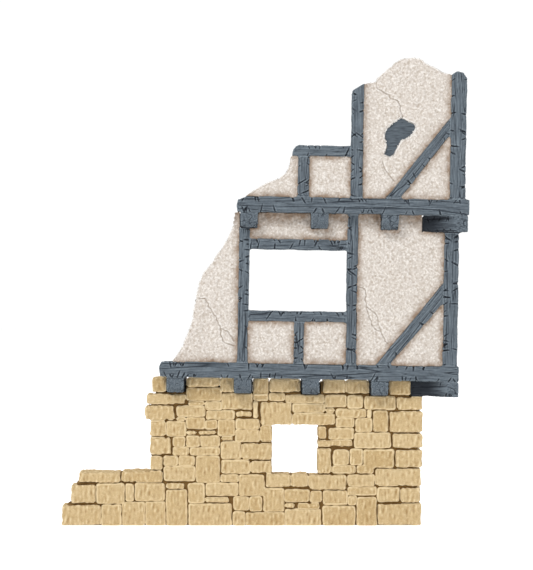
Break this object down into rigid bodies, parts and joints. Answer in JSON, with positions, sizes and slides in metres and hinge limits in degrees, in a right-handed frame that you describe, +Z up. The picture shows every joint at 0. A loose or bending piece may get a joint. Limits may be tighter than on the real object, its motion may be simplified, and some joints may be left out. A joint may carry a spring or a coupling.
{
  "type": "miniature terrain ruin",
  "caption": "Tabletop wargame terrain: corner of a ruined half-timbered house with a stone ground storey, two jettied timber storeys, broken plaster infill and two window openings.",
  "frame": {"origin": "bottom centre of the whole ruin's box", "axes": "+X along the front wall to its right end, +Y from the front face into the house, +Z up"},
  "size_m": [0.163, 0.056, 0.1873],
  "materials": {
    "sandstone": "matt, dry-brushed ochre paint over cast stones",
    "mortar": "matt brown wash in the joints",
    "timber": "matt weathered blue-grey paint with pale dry-brushed edges",
    "lath": "matt dark grey wood grain",
    "plaster": "matt off-white rough render"
  },
  "bodies": {
    "root": {"corner_quoins": "sandstone", "exposed_lath": "lath", "first_brace": "timber", "first_brace_side": "timber", "first_dragon_beam": "timber", "first_joist_1": "timber", "first_joist_2": "timber", "first_joist_3": "timber", "first_joist_4": "timber", "first_plaster_above_window": "plaster", "first_plaster_below_window_left": "plaster", "first_plaster_below_window_right": "plaster", "first_plaster_left": "plaster", "first_plaster_over_brace": "plaster", "first_plaster_side": "plaster", "first_plaster_side_foot": "plaster", "first_plaster_under_brace": "plaster", "first_post_corner": "timber", "first_post_left": "timber", "first_post_middle": "timber", "first_post_side": "timber", "first_side_joists": "timber", "first_sill_front": "timber", "first_sill_side": "timber", "front_stones_foot": "sandstone", "front_stones_middle": "sandstone", "front_stones_second": "sandstone", "front_stones_upper": "sandstone", "inner_stones": "sandstone", "joist_stop_stones": "sandstone", "left_end_stones": "sandstone", "low_wall_coping": "sandstone", "return_end_stones": "sandstone", "return_inner_stones": "sandstone", "return_outer_stones": "sandstone", "second_brace": "timber", "second_dragon_beam": "timber", "second_joist_1": "timber", "second_joist_2": "timber", "second_joist_3": "timber", "second_plaster_bay": "plaster", "second_plaster_left": "plaster", "second_plaster_over_brace": "plaster", "second_plaster_side": "plaster", "second_plaster_under_brace": "plaster", "second_post_corner": "timber", "second_post_middle": "timber", "second_rail": "timber", "second_side_joist": "timber", "second_sill_front": "timber", "second_sill_side": "timber", "second_stud": "timber", "wall_core_front": "mortar", "wall_core_return": "mortar", "window_head_rail": "timber", "window_jamb_stones": "sandstone", "window_lintel_stones": "sandstone", "window_sill_rail": "timber", "window_sill_stones": "sandstone", "window_stud": "timber"}
  },
  "joints": []
}
